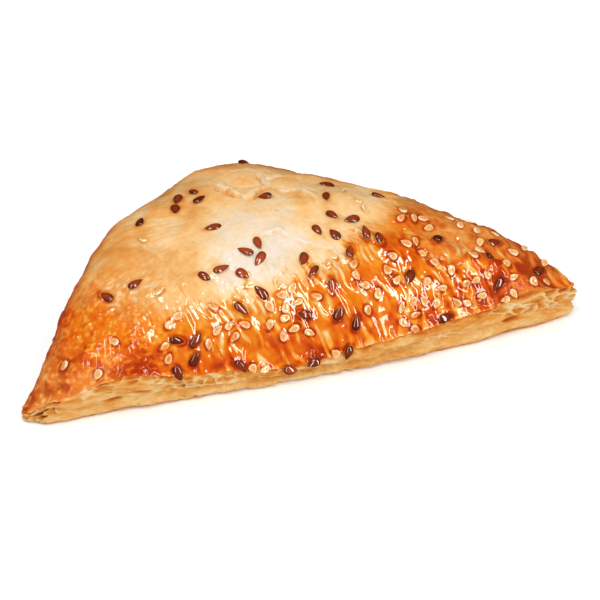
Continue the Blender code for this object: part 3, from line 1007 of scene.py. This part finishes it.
def tinted(tree, shader, scale, low, high):
    """Colours from the mesh, lighter and darker with a fine grain, which is returned."""
    nodes, links = tree.nodes, tree.links
    place = nodes.new("ShaderNodeTexCoord")
    tint = nodes.new("ShaderNodeAttribute")
    tint.attribute_name = "tint"
    grain = nodes.new("ShaderNodeTexNoise")
    grain.inputs["Scale"].default_value = scale
    grain.inputs["Detail"].default_value = 5
    grain.inputs["Roughness"].default_value = 0.6
    links.new(place.outputs["Object"], grain.inputs["Vector"])
    shade = nodes.new("ShaderNodeMapRange")
    shade.inputs["From Min"].default_value = 0.3
    shade.inputs["From Max"].default_value = 0.7
    shade.inputs["To Min"].default_value = low
    shade.inputs["To Max"].default_value = high
    links.new(grain.outputs["Fac"], shade.inputs["Value"])
    mix = nodes.new("ShaderNodeMix")
    mix.data_type = "RGBA"
    mix.blend_type = "MULTIPLY"
    mix.inputs["Factor"].default_value = 1
    links.new(tint.outputs["Color"], mix.inputs["A"])
    links.new(shade.outputs["Result"], mix.inputs["B"])
    links.new(mix.outputs["Result"], shader.inputs["Base Color"])
    return grain


def bumped(tree, shader, grain, strength, distance):
    """Low relief from the grain."""
    bump = tree.nodes.new("ShaderNodeBump")
    bump.inputs["Strength"].default_value = strength
    bump.inputs["Distance"].default_value = distance
    tree.links.new(grain.outputs["Fac"], bump.inputs["Height"])
    tree.links.new(bump.outputs["Normal"], shader.inputs["Normal"])


def baked_dough():
    """Crust and crumb: dough that light enters a little, dull and coated as the mesh says."""
    made, tree, shader = material("Baked dough", 0.5)
    shader.inputs["Subsurface Weight"].default_value = 0.14
    shader.inputs["Subsurface Radius"].default_value = (0.0025, 0.0012, 0.0005)
    shader.inputs["Subsurface Scale"].default_value = 1.0
    shader.inputs["Specular IOR Level"].default_value = 0.04
    shader.inputs["Sheen Weight"].default_value = 0.07
    shader.inputs["Sheen Roughness"].default_value = 0.4
    shader.inputs["Sheen Tint"].default_value = (1.0, 0.72, 0.55, 1)
    shader.inputs["Coat Roughness"].default_value = COAT_ROUGHNESS
    shader.inputs["Coat IOR"].default_value = COAT_IOR
    grain = tinted(tree, shader, 900, 0.93, 1.05)
    bumped(tree, shader, grain, 0.15, 0.0003)
    for key, socket in (("dull", "Roughness"), ("coat", "Coat Weight")):
        attribute = tree.nodes.new("ShaderNodeAttribute")
        attribute.attribute_name = key
        tree.links.new(attribute.outputs["Fac"], shader.inputs[socket])
    return made


def seed_skin(name, roughness, coat):
    """The skin of a seed, under the glaze that runs over it."""
    made, tree, shader = material(name, roughness)
    shader.inputs["Specular IOR Level"].default_value = 0.08
    shader.inputs["Coat Weight"].default_value = coat
    shader.inputs["Coat Roughness"].default_value = COAT_ROUGHNESS
    shader.inputs["Coat IOR"].default_value = COAT_IOR
    grain = tinted(tree, shader, 1500, 0.8, 1.15)
    bumped(tree, shader, grain, 0.15, 0.0002)
    return made


# --- Pieces --------------------------------------------------------------------------------

crust = bpy.data.objects.new("crust", crust_mesh)
flax = bpy.data.objects.new("flax_seeds", flax_mesh)
sesame = bpy.data.objects.new("sesame_seeds", sesame_mesh)
for piece, skin in (
    (crust, baked_dough()),
    (flax, seed_skin("Flax skin", 0.35, 1.0)),
    (sesame, seed_skin("Sesame skin", 0.45, 0.9)),
):
    bpy.context.scene.collection.objects.link(piece)
    piece.data.materials.append(skin)
    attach(piece, "root")
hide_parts("pastry")

# The solid sits with the middle of its box over the origin, and the pieces are moved along.
# Relief that passes the solid's box is pressed level with it.
low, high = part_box("pastry")
outermost = [vertex.co.copy() for vertex in coarse_mesh.vertices]
for seeds_of_kind, size in ((flax_seeds, FLAX_SIZE), (sesame_seeds, SESAME_SIZE)):
    shape = build_seed("seed", size)
    for spot, turn, _ in seeds_of_kind:
        seat = lay(coarse_crust, spot, turn, size[2])
        outermost += [seat @ vertex.co for vertex in shape.vertices]
outermost = np.array(outermost)
middle = (outermost.min(axis=0) + outermost.max(axis=0)) / 2
shift = Vector((-middle[0], -middle[1], 0))
for piece in (crust, flax, sesame):
    points = np.array([vertex.co for vertex in piece.data.vertices]) + np.array(shift)
    piece.data.vertices.foreach_set("co", np.clip(points, low, high).ravel())
    piece.data.update()

# --- Floor, light and camera ---------------------------------------------------------------

FLOOR_LEVEL = -0.0001  # just below the underside
LAMP_REACH = 0.95  # from the origin
WARM = (1.0, 0.94, 0.82)  # the lamps that the glaze mirrors
COOL = (0.96, 0.98, 1.0)  # the others
LAMPS = (  # name, turn, rise, width, height, power, whether the glaze mirrors it
    ("front", 150, 25, 0.13, 1.33, 6.8, True),
    ("left", 208, 25, 0.06, 1.20, 2.8, True),
    ("overhead", 235, 72, 0.20, 0.20, 1.3, True),
    ("ceiling", 0, 90, 1.40, 1.40, 7.4, False),
    ("fill", -60, 40, 0.50, 0.50, 2.2, False),
)


def softbox(name, turn, rise, width, height, power, mirrored):
    """A soft light: turn is its direction from +Y towards +X, both angles in degrees."""
    turn, rise = math.radians(turn), math.radians(rise)
    level = math.cos(rise)
    direction = Vector((math.sin(turn) * level, math.cos(turn) * level, math.sin(rise)))
    light = bpy.data.lights.new(name, "AREA")
    light.shape = "RECTANGLE"
    light.size = width
    light.size_y = height
    light.energy = power
    light.color = WARM if mirrored else COOL
    lamp = bpy.data.objects.new(name, light)
    lamp.location = direction * LAMP_REACH
    lamp.rotation_euler = direction.to_track_quat("Z", "Y").to_euler()
    lamp.visible_glossy = mirrored
    bpy.context.scene.collection.objects.link(lamp)


bpy.ops.mesh.primitive_plane_add(size=12, location=(0, 0, FLOOR_LEVEL))
floor = bpy.context.object
floor.name = "floor"
floor.visible_glossy = False
paper, _, shader = material("Pale floor", 0.9)
shader.inputs["Base Color"].default_value = (0.94, 0.965, 1.0, 1)
shader.inputs["Specular IOR Level"].default_value = 0.1
floor.data.materials.append(paper)

world = bpy.data.worlds.new("Studio")
world.use_nodes = True
world.node_tree.nodes["Background"].inputs["Color"].default_value = (1, 1, 1, 1)
world.node_tree.nodes["Background"].inputs["Strength"].default_value = 0.20
world.cycles_visibility.glossy = False
bpy.context.scene.world = world
bpy.context.scene.view_settings.view_transform = "Standard"

for lamp_row in LAMPS:
    softbox(*lamp_row)

# The photo's camera, as fitted to its outline. It stands a little to the left of the front.
ELEVATION = math.radians(38)
TURN = math.radians(-17.02)
REACH = 0.550
TARGET = (0.00198, 0.01633, 0.012)
SENSOR_WIDTH = 36
LENS = 113.45
target = Vector(TARGET) + shift
ahead = Vector((
    -math.sin(TURN) * math.cos(ELEVATION),
    math.cos(TURN) * math.cos(ELEVATION),
    -math.sin(ELEVATION),
))
camera = bpy.data.objects.new("camera", bpy.data.cameras.new("camera"))
camera.location = target - ahead * REACH
camera.rotation_euler = ahead.to_track_quat("-Z", "Y").to_euler()
camera.data.sensor_width = SENSOR_WIDTH
camera.data.lens = LENS
bpy.context.scene.collection.objects.link(camera)
bpy.context.scene.camera = camera
